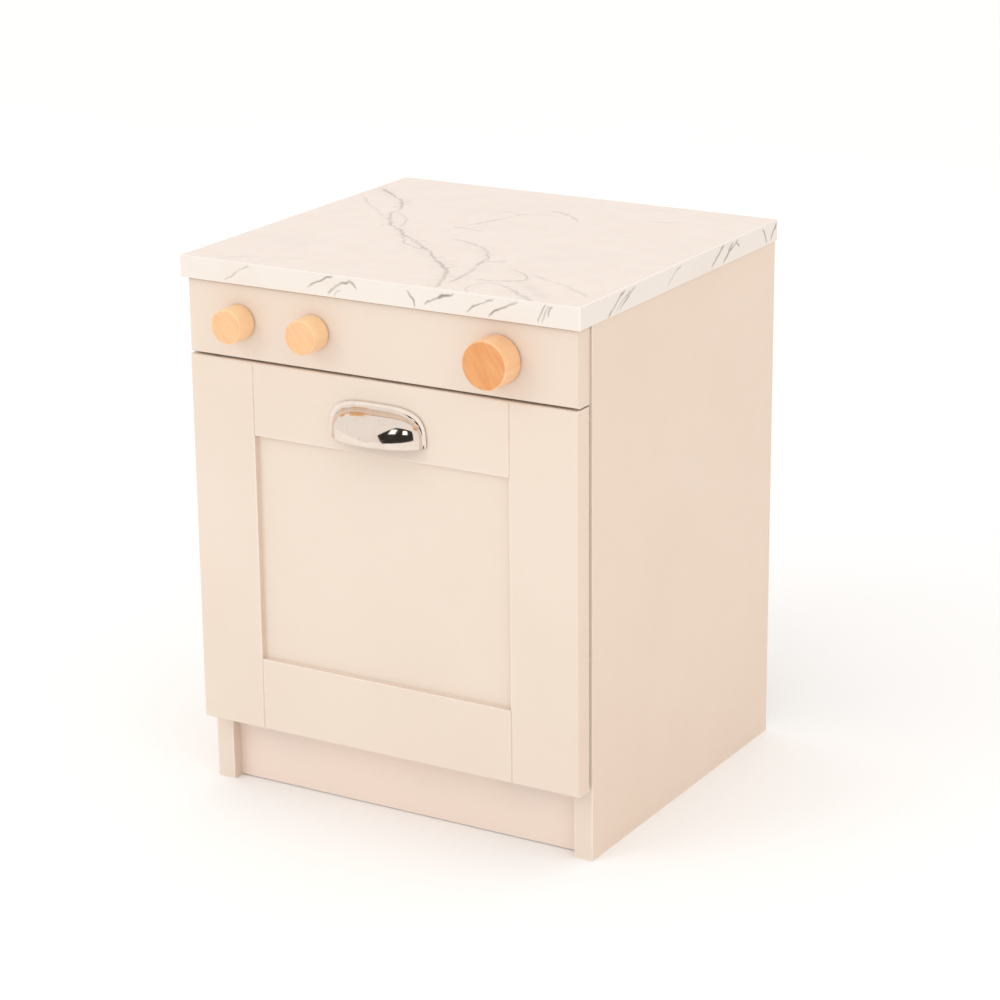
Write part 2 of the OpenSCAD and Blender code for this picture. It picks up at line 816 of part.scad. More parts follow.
// Angle brackets on the door's back: a foot on the stile and an ear beside the arm
module stay_brackets() {
    color(steel) both_sides() difference() {
        union() {
            span([bracket_ear_x - bracket_foot_w, door_back_y, stay_pin_z - bracket_foot_h / 2],
                 [bracket_ear_x, door_back_y + bracket_t, stay_pin_z + bracket_foot_h / 2]);
            span([bracket_ear_x - bracket_t, door_back_y, stay_pin_z - bracket_ear_r],
                 [bracket_ear_x, stay_pin_y, stay_pin_z + bracket_ear_r]);
            rod_x(bracket_ear_x - bracket_t, bracket_ear_x, stay_pin_y, stay_pin_z, bracket_ear_r);
        }
        rod_x(bracket_ear_x - 10, bracket_ear_x + 1, stay_pin_y, stay_pin_z, stud_r + fit);
        stay_screw_places() screw_hole_up(SMALL_SCREW, stay_screw_l);
    }
}

// Pins through bracket and arm, with a flat head at each end
module stay_pins() {
    x0 = bracket_ear_x - bracket_t;
    x1 = stay_x + slip;
    head_r = 4;
    color(steel) both_sides() {
        rod_x(x0 - 1.5, x1 + 1.2, stay_pin_y, stay_pin_z, stud_r);
        rod_x(x0 - 1.5, x0, stay_pin_y, stay_pin_z, head_r);
        rod_x(x1, x1 + 1.2, stay_pin_y, stay_pin_z, head_r);
    }
}

// The right-hand bracket's screws, pointing along -Y into the stile
module stay_screw_places() {
    for (dz = [-10, 10]) translate([bracket_ear_x - 9, door_back_y + bracket_t, stay_pin_z + dz])
        rotate([90, 0, 0]) children();
}

module stay_bracket_screws() {
    color(steel) both_sides() stay_screw_places() screw_up(SMALL_SCREW, stay_screw_l);
}

// ---------------------------------------------------------------- catch

catch_z0 = head_rail_z - catch_h;
catch_ear_z = catch_z0 + 8;                        // underside of the housing's two ears
catch_y0 = face_y + 0.2;
catch_y1 = face_y + catch_d;
catch_wall = 2;
strike_t = 1.5;
strike_w = 32;
strike_h = 12;
magnet_w = 24;
magnet_h = 8;
magnet_y0 = door_back_y + strike_t + slip;         // the magnet's face
strike_z = catch_z0 + catch_wall + magnet_h / 2;

module catch_housing() {
    x = magnet_w / 2;
    z = catch_z0 + catch_wall;
    color("white") difference() {
        union() {
            span([-catch_w / 2, catch_y0, catch_ear_z], [catch_w / 2, catch_y1, head_rail_z]);
            span([-x - catch_wall, catch_y0, catch_z0], [x + catch_wall, catch_y1, catch_ear_z]);
        }
        span([-x, catch_y0 - 1, z], [x, catch_y1 - catch_wall, z + magnet_h + 1]);
        catch_screw_places() screw_hole_up(SMALL_SCREW, catch_screw_l);
    }
}

module catch_magnet() {
    x = magnet_w / 2 - 0.1;
    z = catch_z0 + catch_wall + 0.1;
    color("#55575b") span([-x, magnet_y0, z], [x, catch_y1 - catch_wall - 0.1, z + magnet_h]);
}

module catch_screw_places() {
    for (x = [-1, 1]) translate([x * 18.5, face_y + catch_d / 2, catch_ear_z]) children();
}

module catch_screws() {
    color(steel) catch_screw_places() screw_up(SMALL_SCREW, catch_screw_l);
}

// The strike plate's screw, pointing along -Y into the door
module strike_screw_place() {
    translate([0, door_back_y + strike_t, strike_z]) rotate([90, 0, 0]) children();
}

module catch_strike_plate() {
    color(steel) difference() {
        span([-strike_w / 2, door_back_y, strike_z - strike_h / 2],
             [strike_w / 2, door_back_y + strike_t, strike_z + strike_h / 2]);
        strike_screw_place() screw_hole_up(SMALL_SCREW, strike_screw_l);
    }
}

module strike_screw() {
    color(steel) strike_screw_place() screw_up(SMALL_SCREW, strike_screw_l);
}

// ---------------------------------------------------------------- nodes

module left() {
    mirror([1, 0, 0]) children();
}

left() side_panel();  // side_panel_left
side_panel();  // side_panel_right
base_panel();
back_panel();
top_rail_front();
top_rail_back();
door_head_rail();
plinth_board();
worktop_core();
worktop_laminate();
worktop_edge_front();
left() worktop_edge_side();  // worktop_edge_left
worktop_edge_side();  // worktop_edge_right
control_fascia();
left() fascia_block();  // fascia_block_left
fascia_block();  // fascia_block_right
left() door_stile_right();  // door_stile_left
door_stile_right();
door_rail_top();
door_rail_bottom();
door_panel();
cup_handle();
handle_screws();
left() hinge_base_leaf();  // hinge_base_leaf_left
hinge_base_leaf();  // hinge_base_leaf_right
left() hinge_door_leaf();  // hinge_door_leaf_left
hinge_door_leaf();  // hinge_door_leaf_right
hinge_pins();
hinge_base_screws();
hinge_door_screws();
catch_housing();
catch_magnet();
catch_strike_plate();
catch_screws();
strike_screw();
door_bumpers();
oven_shelf();
shelf_pins();
cam_locks();
cam_bolts();
dowels();
worktop_screws();
fascia_screws();
block_screws();
left() stay_arm();  // stay_arm_left
stay_arm();  // stay_arm_right
stay_studs();
stay_brackets();
stay_pins();
stay_bracket_screws();
knob(KNOBS[0]);  // knob_left
knob(KNOBS[1]);  // knob_middle
knob(KNOBS[2]);  // knob_right
spindle(KNOBS[0]);  // spindle_left
spindle(KNOBS[1]);  // spindle_middle
spindle(KNOBS[2]);  // spindle_right
knob_washers();
spindle_washers();
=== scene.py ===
"""Toy kitchen oven unit: materials, handle, knobs, studio and camera around the CAD frame.

Lengths are in metres, in the CAD frame: +X right, +Y back, +Z up.
"""
import json
import math

import bmesh
import bpy
from mathutils import Matrix, Vector

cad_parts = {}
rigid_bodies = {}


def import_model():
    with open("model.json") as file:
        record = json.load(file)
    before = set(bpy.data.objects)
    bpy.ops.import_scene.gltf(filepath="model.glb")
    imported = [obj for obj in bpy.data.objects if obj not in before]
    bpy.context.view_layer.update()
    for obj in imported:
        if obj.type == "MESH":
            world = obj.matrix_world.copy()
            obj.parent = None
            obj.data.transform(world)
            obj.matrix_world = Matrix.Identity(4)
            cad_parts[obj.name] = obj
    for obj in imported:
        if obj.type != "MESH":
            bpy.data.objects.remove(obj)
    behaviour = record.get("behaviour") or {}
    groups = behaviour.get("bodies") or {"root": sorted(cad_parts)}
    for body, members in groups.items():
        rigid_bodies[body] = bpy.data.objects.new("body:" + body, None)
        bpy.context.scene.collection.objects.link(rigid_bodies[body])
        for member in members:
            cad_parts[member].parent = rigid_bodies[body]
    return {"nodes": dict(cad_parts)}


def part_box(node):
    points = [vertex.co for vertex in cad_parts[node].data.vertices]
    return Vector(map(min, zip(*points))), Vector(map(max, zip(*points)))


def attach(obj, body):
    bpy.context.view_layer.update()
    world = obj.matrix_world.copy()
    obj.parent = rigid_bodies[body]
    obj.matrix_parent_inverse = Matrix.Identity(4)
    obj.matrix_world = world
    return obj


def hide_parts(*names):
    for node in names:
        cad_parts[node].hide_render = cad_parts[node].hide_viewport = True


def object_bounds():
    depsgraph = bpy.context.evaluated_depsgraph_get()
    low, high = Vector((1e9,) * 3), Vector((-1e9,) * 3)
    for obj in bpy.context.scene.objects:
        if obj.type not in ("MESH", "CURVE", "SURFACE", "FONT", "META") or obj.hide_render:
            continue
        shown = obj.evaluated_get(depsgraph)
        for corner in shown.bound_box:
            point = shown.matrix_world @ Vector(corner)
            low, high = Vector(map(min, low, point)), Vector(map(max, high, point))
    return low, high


# The factory scene's own cube, light and camera go first
for leftover in list(bpy.data.objects):
    bpy.data.objects.remove(leftover)

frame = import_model()
nodes = frame["nodes"]
cad_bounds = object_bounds()

MM = 0.001


# ---------------------------------------------------------------- shader building blocks

def srgb(red, green, blue):
    """A linear colour from 0-255 display values."""
    def linear(level):
        share = level / 255
        return share / 12.92 if share <= 0.04045 else ((share + 0.055) / 1.055) ** 2.4
    return (linear(red), linear(green), linear(blue), 1.0)


class Material:
    """A Principled material that is built up one node at a time on object coordinates."""

    def __init__(self, name, **constants):
        self.data = bpy.data.materials.new(name)
        self.data.use_nodes = True
        self.tree = self.data.node_tree
        self.shader = self.tree.nodes["Principled BSDF"]
        for socket, value in constants.items():
            self.shader.inputs[socket.replace("_", " ")].default_value = value
        self.place = self.node("TexCoord").outputs["Object"]

    def node(self, kind, inputs=None, **settings):
        made = self.tree.nodes.new("ShaderNode" + kind)
        for name, value in settings.items():
            setattr(made, name, value)
        for name, value in (inputs or {}).items():
            if isinstance(value, bpy.types.NodeSocket):
                self.tree.links.new(value, made.inputs[name])
            else:
                made.inputs[name].default_value = value
        return made

    def math(self, operation, first, second=0.0, third=0.0, clamp=False):
        made = self.node("Math", {0: first, 1: second, 2: third}, operation=operation, use_clamp=clamp)
        return made.outputs[0]

    def stretched(self, scale, place=None):
        """Object coordinates, or the place given, scaled along each axis."""
        return self.node("Mapping", {"Vector": place or self.place, "Scale": scale}).outputs[0]

    def noise(self, scale, detail=3.0, rough=0.5, place=None, distortion=0.0):
        made = self.node("TexNoise", {"Vector": place or self.place, "Scale": scale, "Detail": detail,
                                      "Roughness": rough, "Distortion": distortion})
        return made.outputs[0]

    def ramp(self, value, low, high, to_low=0.0, to_high=1.0):
        """value from low..high to to_low..to_high, eased at both ends."""
        limits = {"Value": value, "From Min": low, "From Max": high, "To Min": to_low, "To Max": to_high}
        return self.node("MapRange", limits, interpolation_type="SMOOTHSTEP").outputs[0]

    def blend(self, share, first, second, mode="MIX"):
        made = self.node("Mix", data_type="RGBA", blend_type=mode)
        for index, value in ((0, share), (6, first), (7, second)):
            if isinstance(value, bpy.types.NodeSocket):
                self.tree.links.new(value, made.inputs[index])
            else:
                made.inputs[index].default_value = value
        return made.outputs[2]

    def facing(self, axis, low, high):
        """1 on faces that look along an axis, either way, and 0 on the others."""
        normal = self.node("SeparateXYZ", {0: self.node("NewGeometry").outputs["Normal"]}).outputs[axis]
        return self.ramp(self.math("ABSOLUTE", normal), low, high)

    def edges(self, radius):
        """1 near the mesh's convex and concave edges, 0 on its flats."""
        rounded = self.node("Bevel", {"Radius": radius}, samples=4).outputs[0]
        flat = self.node("NewGeometry").outputs["Normal"]
        agreement = self.node("VectorMath", {0: rounded, 1: flat}, operation="DOT_PRODUCT")
        return self.ramp(agreement.outputs["Value"], 0.995, 0.85)

    def bump(self, height, distance, strength=1.0, below=None):
        inputs = {"Height": height, "Distance": distance, "Strength": strength}
        if below is not None:
            inputs["Normal"] = below
        return self.node("Bump", inputs).outputs[0]

    def connect(self, **sockets):
        for socket, value in sockets.items():
            self.tree.links.new(value, self.shader.inputs[socket.replace("_", " ")])
        return self.data


# ---------------------------------------------------------------- materials

CREAM = srgb(230, 214, 199)
# Edge colour: partly rubbed wear, partly a painted highlight along the eased edges
CREAM_WORN_AND_HIGHLIGHT = srgb(246, 234, 223)
CREAM_DEEP = srgb(223, 205, 189)
# Painted light: a lighter copy of the cream for the recessed plinth, lifting the shade it sits in
PLINTH_CREAM_PAINTED_LIGHT = srgb(240, 221, 208)
X_FACE_PAINTED_SHADE = (0.977, 0.922, 0.880, 1.0)      # painted shade on faces that look along X


def lacquered_board(name, grain_axis, tint=CREAM, deep=CREAM_DEEP):
    """Cream satin lacquer rolled onto board: clouding, roller stipple, rubbed edges that are also a
    painted highlight, and painted shade on faces that look along X.
    """
    paint = Material(name, Specular_IOR_Level=0.42, Coat_Weight=0.12, Coat_Roughness=0.3)
    clouds = paint.noise(5.0, detail=4.0)
    scuffs = paint.noise(38.0, detail=6.0, rough=0.65)
    base = paint.blend(paint.ramp(clouds, 0.35, 0.75, 0.0, 0.4), tint, deep)
    specks = paint.ramp(paint.noise(900.0, detail=1.0), 0.70, 0.80, 0.0, 0.18)
    base = paint.blend(specks, base, deep)
    # Painted shade: faces that look along X are darkened by this tint
    base = paint.blend(paint.facing(0, 0.5, 0.9), base, X_FACE_PAINTED_SHADE, mode="MULTIPLY")
    # Lighter edges: partly wear, partly a painted highlight
    rubbed = paint.math("MULTIPLY", paint.edges(2.4 * MM), paint.ramp(scuffs, 0.36, 0.60, 0.45, 1.0))
    base = paint.blend(rubbed, base, CREAM_WORN_AND_HIGHLIGHT)
    along = [260.0, 260.0, 260.0]
    along[grain_axis] = 14.0
    roller = paint.noise(1.0, detail=3.0, place=paint.stretched(along))
    stipple = paint.noise(620.0, detail=2.0)
    relief = paint.bump(roller, 0.05 * MM, 0.35)
    relief = paint.bump(stipple, 0.04 * MM, 0.5, below=relief)
    rough = paint.ramp(scuffs, 0.3, 0.7, 0.36, 0.50)
    return paint.connect(Base_Color=base, Roughness=rough, Normal=relief)


def hardboard():
    """The back panel: cream inside, bare brown hardboard with its mesh print outside."""
    board = Material("back_hardboard", Specular_IOR_Level=0.35)
    fibres = board.noise(1.0, detail=5.0, rough=0.7, place=board.stretched((420.0, 420.0, 160.0)))
    brown = board.blend(board.ramp(fibres, 0.3, 0.7), srgb(150, 112, 76), srgb(178, 138, 98))
    normal = board.node("NewGeometry").outputs["Normal"]
    outside = board.ramp(board.node("SeparateXYZ", {0: normal}).outputs[1], 0.45, 0.55)
    cream = board.blend(board.ramp(board.noise(6.0), 0.4, 0.7, 0.0, 0.4), CREAM, CREAM_DEEP)
    threads = {"Vector": board.place, "Scale": 190.0, "Distortion": 0.6}
    warp = board.node("TexWave", threads, bands_direction="X").outputs[1]
    weft = board.node("TexWave", threads, bands_direction="Z").outputs[1]
    mesh = board.math("MULTIPLY", board.math("MAXIMUM", warp, weft), outside)
    relief = board.bump(board.math("ADD", mesh, fibres), 0.12 * MM, 0.5)
    rough = board.ramp(outside, 0.0, 1.0, 0.45, 0.72)
    return board.connect(Base_Color=board.blend(outside, cream, brown), Roughness=rough, Normal=relief)


def chipboard():
    """Raw chipboard: angular chips in mixed browns with dark gaps."""
    board = Material("chipboard", Specular_IOR_Level=0.25)
    chips = board.node("TexVoronoi", {"Vector": board.stretched((520.0, 300.0, 520.0)), "Scale": 1.0})
    shade = board.node("SeparateColor", {0: chips.outputs["Color"]}).outputs[0]
    base = board.blend(shade, srgb(196, 160, 112), srgb(224, 194, 148))
    gaps = board.ramp(chips.outputs["Distance"], 0.45, 0.75, 0.0, 0.55)
    base = board.blend(gaps, base, srgb(134, 98, 62))
    return board.connect(Base_Color=base, Roughness=board.ramp(shade, 0.0, 1.0, 0.7, 0.9),
                         Normal=board.bump(chips.outputs["Distance"], 0.25 * MM, 0.6))


SHEET_WHITE = srgb(235, 219, 207)
EDGING_WHITE = srgb(234, 225, 216)
MARBLE_MIST = srgb(227, 213, 202)
MARBLE_EDGE_HIGHLIGHT = srgb(254, 249, 243)
VEIN_GREY = srgb(138, 128, 116)
TAPER = 8.0             # how soon a vein reaches its full strength from either end
FEATHERED_FROM = 0.35   # strength from which a vein has feathering
HALO_WIDTH = 5.0        # width of the feathering over the vein's own
HALO_STRENGTH = 0.7
MARBLE_X_FACE_PAINTED_SHADE = (0.97, 0.95, 0.94, 1.0)  # painted shade on edging that looks along X


class Marble(Material):
    """White marble-print laminate whose veins are drawn in one plane of the object."""

    def __init__(self, name, across, up, white):
        super().__init__(name, Specular_IOR_Level=0.45, Coat_Weight=0.15, Coat_Roughness=0.25)
        self.white = white
        split = self.node("SeparateXYZ", {0: self.place})
        flat = self.node("CombineXYZ", {0: split.outputs[across], 1: split.outputs[up]}).outputs[0]
        self.flat = flat
        self.streaks = None
        wandering = self.shift(flat, 26.0, 14 * MM)
        self.sheet = self.shift(wandering, 110.0, 6 * MM)

    def shift(self, place, scale, reach):
        """place, moved about by up to half of reach either way with a noise of that scale."""
        colour = self.node("TexNoise", {"Vector": place, "Scale": scale, "Detail": 2.0}).outputs[1]
        middle_grey = (0.5, 0.5, 0.5)
        centred = self.node("VectorMath", {0: colour, 1: middle_grey}, operation="SUBTRACT").outputs[0]
        inputs = {0: centred, 1: (reach, reach, 0.0), 2: place}
        return self.node("VectorMath", inputs, operation="MULTIPLY_ADD").outputs[0]

    def vein(self, start, end, bow, width, strength):
        """A vein from start to end that bows to its left and tapers out at both ends."""
        run = Vector(end) - Vector(start)
        turn = math.atan2(run.y, run.x)
        frame_of_vein = {"Vector": self.sheet, "Location": (*start, 0.0), "Rotation": (0.0, 0.0, turn),
                         "Scale": (run.length, width, 1.0)}
        local = self.node("Mapping", frame_of_vein, vector_type="TEXTURE")
        split = self.node("SeparateXYZ", {0: local.outputs[0]})
        left = self.math("SUBTRACT", 1.0, split.outputs[0])
        span = self.math("MULTIPLY", split.outputs[0], left)        # 0 at the ends, 1/4 halfway
        offset = self.math("MULTIPLY_ADD", span, -4 * bow / width, split.outputs[1])
        line = self.ramp(self.math("ABSOLUTE", offset), 1.0, 0.0)
        taper = self.math("MULTIPLY", span, TAPER * strength, clamp=True)
        limit = self.math("MINIMUM", taper, strength)
        return self.math("MULTIPLY", line, limit)

    def feathers(self):
        """Fine streaks across the sheet that fray the strong veins."""
        if self.streaks is None:
            combed = {"Vector": self.sheet, "Rotation": (0.0, 0.0, math.radians(24)),
                      "Scale": (0.018, 0.0036, 1.0)}
            along = self.node("Mapping", combed, vector_type="TEXTURE").outputs[0]
            self.streaks = self.ramp(self.noise(1.0, 4.0, 0.65, place=along), 0.50, 0.66, 0.05, 0.9)
        return self.streaks

    def finish(self, veins, feather):
        """Joins the veins, feathering round the strong ones, and the sheet's own mist; adds painted shade
        on faces that look along X and a painted highlight along the edges.
        """
        total = None
        for start, end, bow, width, strength in veins:
            drawn = self.vein(start, end, bow, width, strength)
            if feather and strength > FEATHERED_FROM:
                halo = self.vein(start, end, bow, width * HALO_WIDTH, strength * HALO_STRENGTH)
                drawn = self.math("MAXIMUM", drawn, self.math("MULTIPLY", halo, self.feathers()))
            total = drawn if total is None else self.math("MAXIMUM", total, drawn)
        broken = self.ramp(self.noise(48.0, detail=4.0, place=self.flat), 0.34, 0.62, 0.5, 1.0)
        total = self.math("MULTIPLY", total, broken, clamp=True)
        mist = self.ramp(self.noise(11.0, detail=5.0, rough=0.6, distortion=0.6), 0.52, 0.74, 0.0, 0.5)
        base = self.blend(mist, self.white, MARBLE_MIST)
        base = self.blend(total, base, VEIN_GREY)
        # Painted shade: faces that look along X are darkened by this tint
        base = self.blend(self.facing(0, 0.5, 0.9), base, MARBLE_X_FACE_PAINTED_SHADE, mode="MULTIPLY")
        # Painted highlight: near-white along the edges of the sheet and the edging
        base = self.blend(self.edges(1.2 * MM), base, MARBLE_EDGE_HIGHLIGHT)
        relief = self.bump(self.noise(520.0, detail=2.0), 0.03 * MM, 0.4)
        rough = self.ramp(self.noise(60.0, detail=5.0), 0.3, 0.7, 0.30, 0.42)
        return self.connect(Base_Color=base, Roughness=rough, Normal=relief)


# Veins of the printed sheet: start, end, bow, half-width, strength
SHEET_VEINS = [
    ((-0.200, 0.148), (-0.123, 0.060), 0.010, 0.0032, 0.60),
    ((-0.195, 0.112), (-0.122, 0.038), -0.004, 0.0030, 0.24),
    ((-0.128, 0.070), (-0.084, 0.002), -0.009, 0.0030, 0.56),
    ((-0.124, 0.064), (-0.084, 0.004), 0.004, 0.0026, 0.30),
    ((-0.090, 0.008), (-0.044, -0.036), -0.004, 0.0026, 0.60),
    ((-0.052, -0.026), (0.012, -0.092), 0.002, 0.0032, 0.66),
    ((-0.070, -0.018), (-0.012, -0.060), -0.009, 0.0024, 0.44),
    ((0.004, -0.084), (0.045, -0.132), 0.003, 0.0042, 0.66),
    ((0.040, -0.120), (0.062, -0.174), -0.001, 0.0038, 0.60),
    ((0.028, -0.112), (0.042, -0.098), 0.000, 0.0026, 0.34),
    ((-0.026, -0.010), (0.037, -0.047), 0.009, 0.0036, 0.40),
    ((0.031, -0.038), (0.053, -0.093), 0.004, 0.0032, 0.52),
    ((0.053, -0.086), (0.058, -0.158), 0.004, 0.0036, 0.48),
    ((0.049, -0.071), (0.068, -0.063), 0.000, 0.0030, 0.46),
    ((-0.041, 0.034), (-0.013, 0.114), 0.000, 0.0026, 0.32),
    ((-0.018, 0.105), (0.012, 0.117), 0.002, 0.0024, 0.26),
    ((-0.046, 0.033), (-0.012, 0.026), 0.000, 0.0028, 0.32),
    ((-0.002, 0.131), (0.046, 0.105), 0.005, 0.0030, 0.34),
    ((-0.044, 0.110), (-0.014, 0.105), 0.001, 0.0026, 0.20),
    ((0.096, 0.136), (0.136, 0.140), 0.002, 0.0040, 0.16),
    ((0.084, -0.087), (0.117, -0.117), 0.006, 0.0026, 0.46),
    ((0.119, -0.110), (0.072, -0.131), 0.007, 0.0026, 0.44),
    ((0.092, -0.176), (0.096, -0.137), 0.010, 0.0026, 0.40),
    ((0.086, -0.140), (0.126, -0.149), 0.004, 0.0030, 0.44),
    ((0.114, -0.141), (0.160, -0.184), 0.000, 0.0042, 0.48),
    ((0.108, -0.120), (0.162, -0.166), 0.004, 0.0110, 0.14),
    ((0.106, -0.095), (0.194, -0.143), 0.005, 0.0036, 0.26),
    ((-0.165, -0.176), (-0.136, -0.148), 0.003, 0.0026, 0.22),
]

# Strokes on the edging strips, along the strip and up it, from the strip's lower edge
FRONT_STROKES = [(-0.155, 0.002, -0.126, 0.018, 0.22), (-0.068, 0.005, -0.040, 0.019, 0.50),
                 (-0.046, 0.002, -0.022, 0.018, 0.60), (-0.026, 0.018, -0.016, 0.010, 0.55),
                 (-0.040, 0.001, -0.032, 0.007, 0.30), (0.034, 0.016, 0.043, 0.001, 0.45),
                 (0.051, 0.005, 0.082, 0.018, 0.75), (0.092, 0.003, 0.121, 0.018, 0.45),
                 (0.113, 0.002, 0.144, 0.018, 0.62), (0.162, 0.002, 0.171, 0.019, 0.45),
                 (0.166, 0.002, 0.174, 0.018, 0.25), (0.172, 0.008, 0.177, 0.018, 0.40)]
SIDE_STROKES = [(-0.130, 0.000, -0.097, 0.018, 0.75), (-0.109, 0.002, -0.078, 0.018, 0.45),
                (-0.116, 0.001, -0.088, 0.016, 0.30), (-0.022, 0.003, 0.006, 0.018, 0.32),
                (0.064, 0.003, 0.090, 0.018, 0.70), (0.086, 0.002, 0.118, 0.018, 0.75),
                (0.110, 0.016, 0.119, 0.010, 0.55), (0.096, 0.010, 0.108, 0.017, 0.55),
                (0.166, 0.017, 0.176, 0.001, 0.60), (0.184, 0.003, 0.198, 0.017, 0.75)]


def marble_strip(name, across, strokes, floor):
    """Edging strip: short slanted strokes of the same print, wider where they are stronger."""
    strip = Marble(name, across, 2, EDGING_WHITE)
    strip.sheet = strip.shift(strip.flat, 100.0, 5 * MM)
    bow = 1.5 * MM
    veins = [((x0, z0 + floor), (x1, z1 + floor), bow, (0.8 + 1.7 * strength) * MM, 0.3 + strength)
             for x0, z0, x1, z1, strength in strokes]
    return strip.finish(veins, feather=False)


# Light and dark tone of the wood, on each knob's face and side and on the fixing blocks. A knob's side is
# lighter than its face, partly as side grain against end grain and partly as painted light.
SMALL_KNOB_FACE = (srgb(249, 195, 148), srgb(243, 177, 122))
SMALL_KNOB_SIDE_GRAIN_AND_LIGHT = (srgb(253, 214, 168), srgb(249, 198, 144))
LARGE_KNOB_FACE = (srgb(229, 164, 106), srgb(219, 140, 80))
LARGE_KNOB_SIDE_GRAIN_AND_LIGHT = (srgb(250, 206, 160), srgb(246, 182, 128))
RAW_BEECH = (srgb(232, 192, 142), srgb(212, 160, 106))


def beech(name, face, side, coat):
    """Beech with growth bands, slanted grain and flecks; face and side are (light, dark) tones."""
    wood = Material(name, Specular_IOR_Level=0.4, Coat_Weight=coat, Coat_Roughness=0.35)
    # Face against side: partly end grain against side grain, partly painted light on the lighter sides
    frontal = wood.facing(1, 0.6, 0.95)
    light = wood.blend(frontal, side[0], face[0])
    dark = wood.blend(frontal, side[1], face[1])
    tilted = wood.node("Mapping", {"Vector": wood.place, "Rotation": (0.0, 0.6, 0.0)}).outputs[0]
    across_bands = wood.stretched((210.0, 60.0, 26.0), tilted)
    bands = wood.noise(1.0, detail=3.0, place=across_bands, distortion=0.4)
    base = wood.blend(wood.ramp(bands, 0.32, 0.70, 0.0, 0.6), light, dark)
    fibres = wood.noise(1.0, detail=5.0, rough=0.6, place=wood.stretched((900.0, 160.0, 90.0), tilted))
    base = wood.blend(wood.ramp(fibres, 0.50, 0.78, 0.0, 0.35), base, dark)
    flecks = wood.noise(1.0, detail=2.0, place=wood.stretched((1100.0, 420.0, 260.0), tilted))
    base = wood.blend(wood.ramp(flecks, 0.66, 0.76, 0.0, 0.30), base, srgb(190, 122, 72))
    relief = wood.bump(fibres, 0.06 * MM, 0.45)
    relief = wood.bump(flecks, 0.05 * MM, 0.3, below=relief)
    rough = wood.ramp(fibres, 0.3, 0.7, 0.42, 0.58)
    return wood.connect(Base_Color=base, Roughness=rough, Normal=relief)


def chrome():
    """Polished chrome plate: faint casting waves and handling smears."""
    metal = Material("polished_chrome", Metallic=1.0)
    smears = metal.noise(70.0, detail=6.0, rough=0.7, distortion=0.8)
    film = metal.ramp(smears, 0.45, 0.75, 0.0, 0.5)
    base = metal.blend(film, srgb(230, 216, 204), srgb(214, 199, 186))
    rough = metal.ramp(smears, 0.35, 0.8, 0.035, 0.16)
    waves = metal.bump(metal.noise(45.0, detail=1.0), 0.25 * MM, 0.35)
    return metal.connect(Base_Color=base, Roughness=rough, Normal=waves)


def zinc():
    """Zinc-plated steel: drawn along its length, with dull spangle and rubbed edges."""
    metal = Material("zinc_plate", Metallic=1.0)
    spangle = metal.noise(240.0, detail=3.0)
    drawn = metal.noise(1.0, detail=4.0, place=metal.stretched((900.0, 60.0, 900.0)))
    base = metal.blend(metal.ramp(spangle, 0.35, 0.7), srgb(186, 188, 192), srgb(206, 207, 210))
    base = metal.blend(metal.edges(0.6 * MM), base, srgb(226, 226, 228))
    return metal.connect(Base_Color=base, Roughness=metal.ramp(spangle, 0.3, 0.7, 0.26, 0.42),
                         Normal=metal.bump(drawn, 0.05 * MM, 0.4))


def nylon():
    """White moulded nylon with a fine spark-eroded texture."""
    plastic = Material("white_nylon", Specular_IOR_Level=0.5)
    grain = plastic.noise(1100.0, detail=2.0)
    flow = plastic.ramp(plastic.noise(30.0), 0.35, 0.7, 0.0, 0.5)
    base = plastic.blend(flow, srgb(240, 239, 234), srgb(228, 226, 220))
    return plastic.connect(Base_Color=base, Roughness=plastic.ramp(grain, 0.3, 0.7, 0.38, 0.55),
                           Normal=plastic.bump(grain, 0.04 * MM, 0.5))


def ferrite():
    """Sintered ferrite: near-black with grey crystal specks and chipped edges."""
    block = Material("ferrite", Specular_IOR_Level=0.5)
    grains = block.noise(800.0, detail=3.0)
    base = block.blend(block.ramp(grains, 0.55, 0.75), srgb(52, 52, 54), srgb(104, 104, 108))
    base = block.blend(block.edges(0.8 * MM), base, srgb(128, 128, 130))
    return block.connect(Base_Color=base, Roughness=block.ramp(grains, 0.3, 0.7, 0.5, 0.75),
                         Normal=block.bump(grains, 0.05 * MM, 0.6))


def paper_floor():
    """Seamless white studio paper, just off even."""
    paper = Material("studio_paper", Specular_IOR_Level=0.1)
    tone = paper.noise(1.6, detail=3.0)
    shade = (0.985, 0.985, 0.985, 1.0)
    light = (0.995, 0.992, 0.990, 1.0)
    base = paper.blend(paper.ramp(tone, 0.3, 0.7), shade, light)
    fibre = paper.noise(420.0, detail=2.0)
    return paper.connect(Base_Color=base, Roughness=paper.ramp(fibre, 0.3, 0.7, 0.85, 0.95),
                         Normal=paper.bump(fibre, 0.03 * MM, 0.2))


def dark_cloth():
    """Near-black cloth of the studio's dark flag."""
    cloth = Material("dark_flag", Roughness=0.9)
    tone = cloth.blend(cloth.noise(3.0), (0.01, 0.01, 0.01, 1.0), (0.03, 0.025, 0.02, 1.0))
    return cloth.connect(Base_Color=tone)


def lit_cloth():
    """Glowing front cloth of a softbox."""
    cloth = Material("softbox", Roughness=0.9, Emission_Strength=1.0)
    tone = cloth.blend(cloth.noise(40.0), (0.9, 0.9, 0.9, 1.0), (1.0, 0.98, 0.96, 1.0))
    return cloth.connect(Base_Color=tone, Emission_Color=tone)


worktop_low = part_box("worktop_core")[0].z
upright_paint = lacquered_board("cream_upright", grain_axis=2)
level_paint = lacquered_board("cream_level", grain_axis=0)
